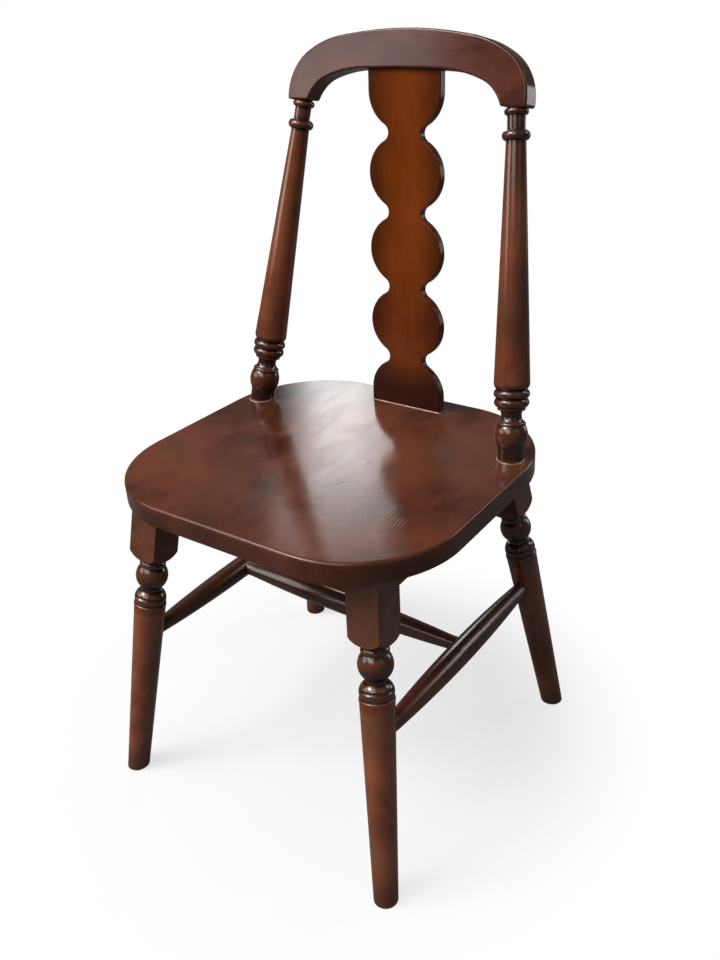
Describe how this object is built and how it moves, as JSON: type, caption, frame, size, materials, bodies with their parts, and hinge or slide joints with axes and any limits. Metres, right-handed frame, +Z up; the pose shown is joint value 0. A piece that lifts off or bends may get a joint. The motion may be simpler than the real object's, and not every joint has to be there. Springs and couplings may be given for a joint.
{
  "type": "wooden dining chair",
  "caption": "Dark red-brown wooden dining chair with a flat rounded seat, splayed turned legs, turned back posts, a scalloped back splat and an arched crest rail.",
  "frame": {"origin": "on the floor, in the middle of the chair's footprint box; the plane x = 0 is the chair's symmetry plane", "axes": "+Z up, -Y to the front of the seat, +X to the sitter's left"},
  "size_m": [0.4824, 0.4691, 0.9334],
  "materials": {
    "seat_wood": "gloss",
    "crest_wood": "gloss",
    "splat_wood": "gloss",
    "frame_wood": "gloss",
    "block_wood": "matte",
    "screw_steel": "satin"
  },
  "bodies": {
    "root": {"seat": "seat_wood", "crest_rail": "crest_wood", "back_splat": "splat_wood", "back_post_left": "frame_wood", "back_post_right": "frame_wood", "leg_front_left": "frame_wood", "leg_front_right": "frame_wood", "leg_back_left": "frame_wood", "leg_back_right": "frame_wood", "rail_front": "frame_wood", "rail_back": "frame_wood", "rail_left": "frame_wood", "rail_right": "frame_wood", "stretcher_left": "frame_wood", "stretcher_right": "frame_wood", "stretcher_cross": "frame_wood", "corner_block_front_left": "block_wood", "corner_block_front_right": "block_wood", "corner_block_back_left": "block_wood", "corner_block_back_right": "block_wood", "seat_screws": "screw_steel", "corner_block_screws": "screw_steel"}
  },
  "joints": []
}
